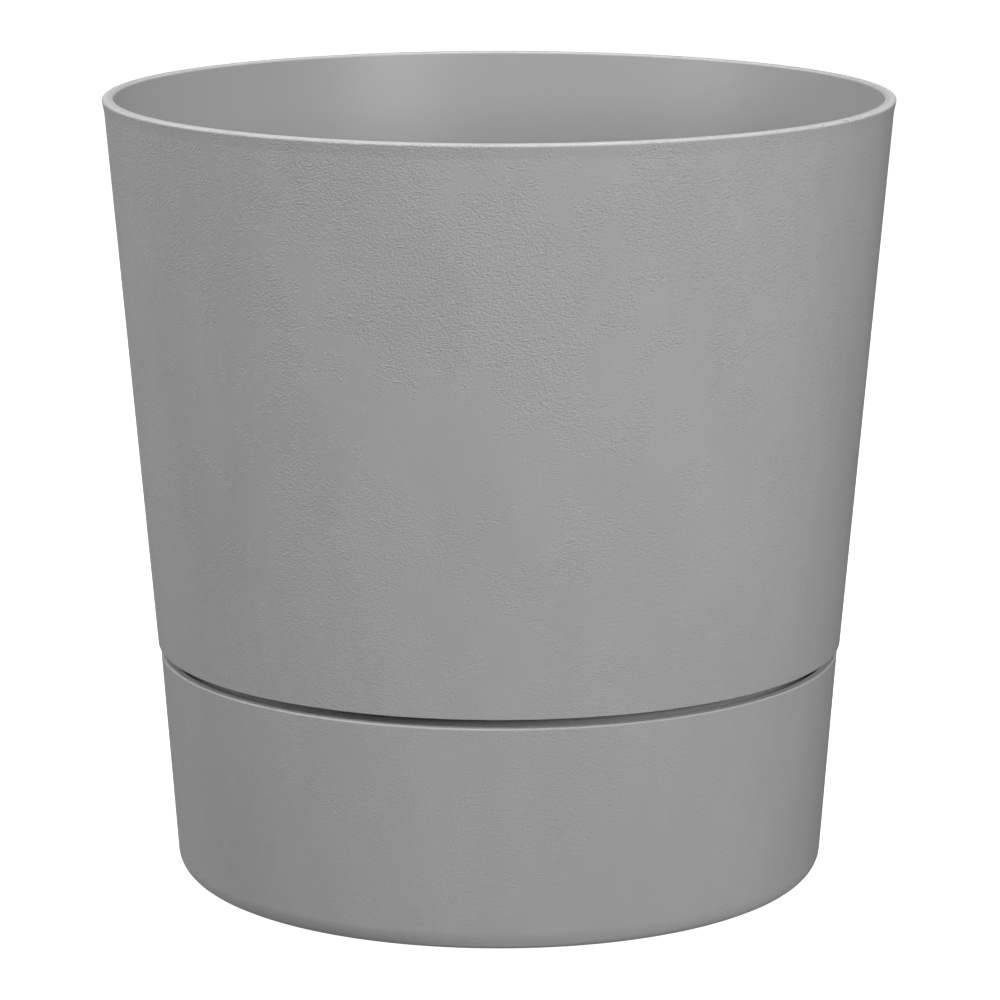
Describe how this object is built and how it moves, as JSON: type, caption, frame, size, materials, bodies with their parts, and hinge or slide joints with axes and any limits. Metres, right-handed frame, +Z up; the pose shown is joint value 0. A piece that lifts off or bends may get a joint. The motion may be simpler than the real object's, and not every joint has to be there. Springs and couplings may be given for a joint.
{
  "type": "self watering planter",
  "caption": "Round tapered planter that lifts off a flush water bowl, with a lift-out watering insert of soil grid, wick cups, filler tube and float level gauge.",
  "frame": {"origin": "centre of the base, on the floor plane under the foot ring", "axes": "+Z up along the planter's axis, -Y towards the front, +X to the right seen from the front"},
  "size_m": [0.349, 0.349, 0.35],
  "materials": {
    "moulded_grey": "matt through-coloured grey with a fine trowelled concrete texture",
    "plug_grey": "fine spark-eroded matt",
    "seal_rubber": "soft matt",
    "insert_black": "as-moulded satin, slightly grained",
    "lid_grey": "satin",
    "pin_steel": "drawn stainless wire",
    "clear_tube": "clear extruded tube",
    "scale_white": "smooth white",
    "float_foam": "closed-cell foam bead",
    "marker_red": "glossy"
  },
  "bodies": {
    "reservoir": {"reservoir_bowl": "moulded_grey", "support_pillar": "moulded_grey"},
    "plug": {"overflow_plug": "plug_grey", "plug_seal": "seal_rubber"},
    "pot": {"pot_shell": "moulded_grey", "pot_floor": "moulded_grey"},
    "insert": {"soil_grid": "insert_black", "wick_cup_1": "insert_black", "wick_cup_2": "insert_black", "wick_cup_3": "insert_black", "wick_cup_4": "insert_black", "filler_tube": "insert_black", "filler_collar": "insert_black", "lid_pin": "pin_steel", "float_cage": "insert_black", "gauge_tube": "clear_tube", "gauge_cap": "lid_grey", "level_scale": "scale_white", "tube_clip": "insert_black"},
    "lid": {"filler_lid": "lid_grey"},
    "float": {"water_float": "float_foam", "float_stem": "scale_white", "level_marker": "marker_red"}
  },
  "joints": [
    {"name": "pot_lift", "type": "slide", "parent": "reservoir", "child": "pot", "axis": [0, 0, 1], "range_m": [0, 0.13]},
    {"name": "insert_lift", "type": "slide", "parent": "pot", "child": "insert", "axis": [0, 0, 1], "range_m": [0, 0.36]},
    {"name": "float_rise", "type": "slide", "parent": "insert", "child": "float", "axis": [0, 0, 1], "range_m": [0, 0.048]},
    {"name": "lid_hinge", "type": "hinge", "parent": "insert", "child": "lid", "pos_m": [0.028, -0.136, 0.3276], "axis": [1, 0, 0], "range_deg": [0, 110]},
    {"name": "plug_pull", "type": "slide", "parent": "reservoir", "child": "plug", "axis": [0, 1, 0], "range_m": [0, 0.03]}
  ]
}
